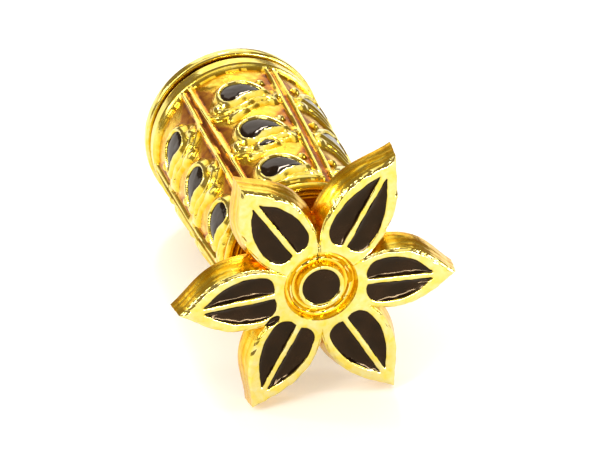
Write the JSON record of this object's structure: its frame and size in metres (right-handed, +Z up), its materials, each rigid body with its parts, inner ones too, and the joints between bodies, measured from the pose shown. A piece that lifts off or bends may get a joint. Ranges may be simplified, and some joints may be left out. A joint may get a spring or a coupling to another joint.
{
  "type": "enamelled flower stud earring with a drum back",
  "caption": "Gold-plated stud earring: a black-enamelled flower with pointed petals on a post in front of a tapered hollow drum with framed panels of raised enamelled drops.",
  "frame": {"origin": "middle of the earring's box on the surface that it lies on, resting on two petal tips and the edge of the back disc", "axes": "+Z up, -Y the way the flower faces, +Y along the drum towards the back disc, +X to the right seen from the flower's side"},
  "size_m": [0.0154, 0.0206, 0.014],
  "materials": {
    "gold_plate": "bright yellow gold plate on cast brass, polished on the rims, left as cast in the recesses",
    "black_enamel": "glossy brown-black enamel, filled into cells a little below the rims"
  },
  "bodies": {
    "root": {"flower_head": "gold_plate", "drum": "gold_plate", "front_cap": "gold_plate", "back_disc": "gold_plate", "ear_post": "gold_plate", "petal_enamel_a1": "black_enamel", "petal_enamel_a2": "black_enamel", "petal_enamel_b1": "black_enamel", "petal_enamel_b2": "black_enamel", "petal_enamel_c1": "black_enamel", "petal_enamel_c2": "black_enamel", "petal_enamel_d1": "black_enamel", "petal_enamel_d2": "black_enamel", "petal_enamel_e1": "black_enamel", "petal_enamel_e2": "black_enamel", "petal_enamel_f1": "black_enamel", "petal_enamel_f2": "black_enamel", "fork_enamel": "black_enamel", "dot_enamel": "black_enamel", "drop_enamel_1_1": "black_enamel", "drop_enamel_1_2": "black_enamel", "drop_enamel_1_3": "black_enamel", "drop_enamel_2_1": "black_enamel", "drop_enamel_2_2": "black_enamel", "drop_enamel_2_3": "black_enamel", "drop_enamel_3_1": "black_enamel", "drop_enamel_3_2": "black_enamel", "drop_enamel_3_3": "black_enamel", "drop_enamel_4_1": "black_enamel", "drop_enamel_4_2": "black_enamel", "drop_enamel_4_3": "black_enamel", "drop_enamel_5_1": "black_enamel", "drop_enamel_5_2": "black_enamel", "drop_enamel_5_3": "black_enamel", "drop_enamel_6_1": "black_enamel", "drop_enamel_6_2": "black_enamel", "drop_enamel_6_3": "black_enamel", "crescent_enamel": "black_enamel"}
  },
  "joints": []
}
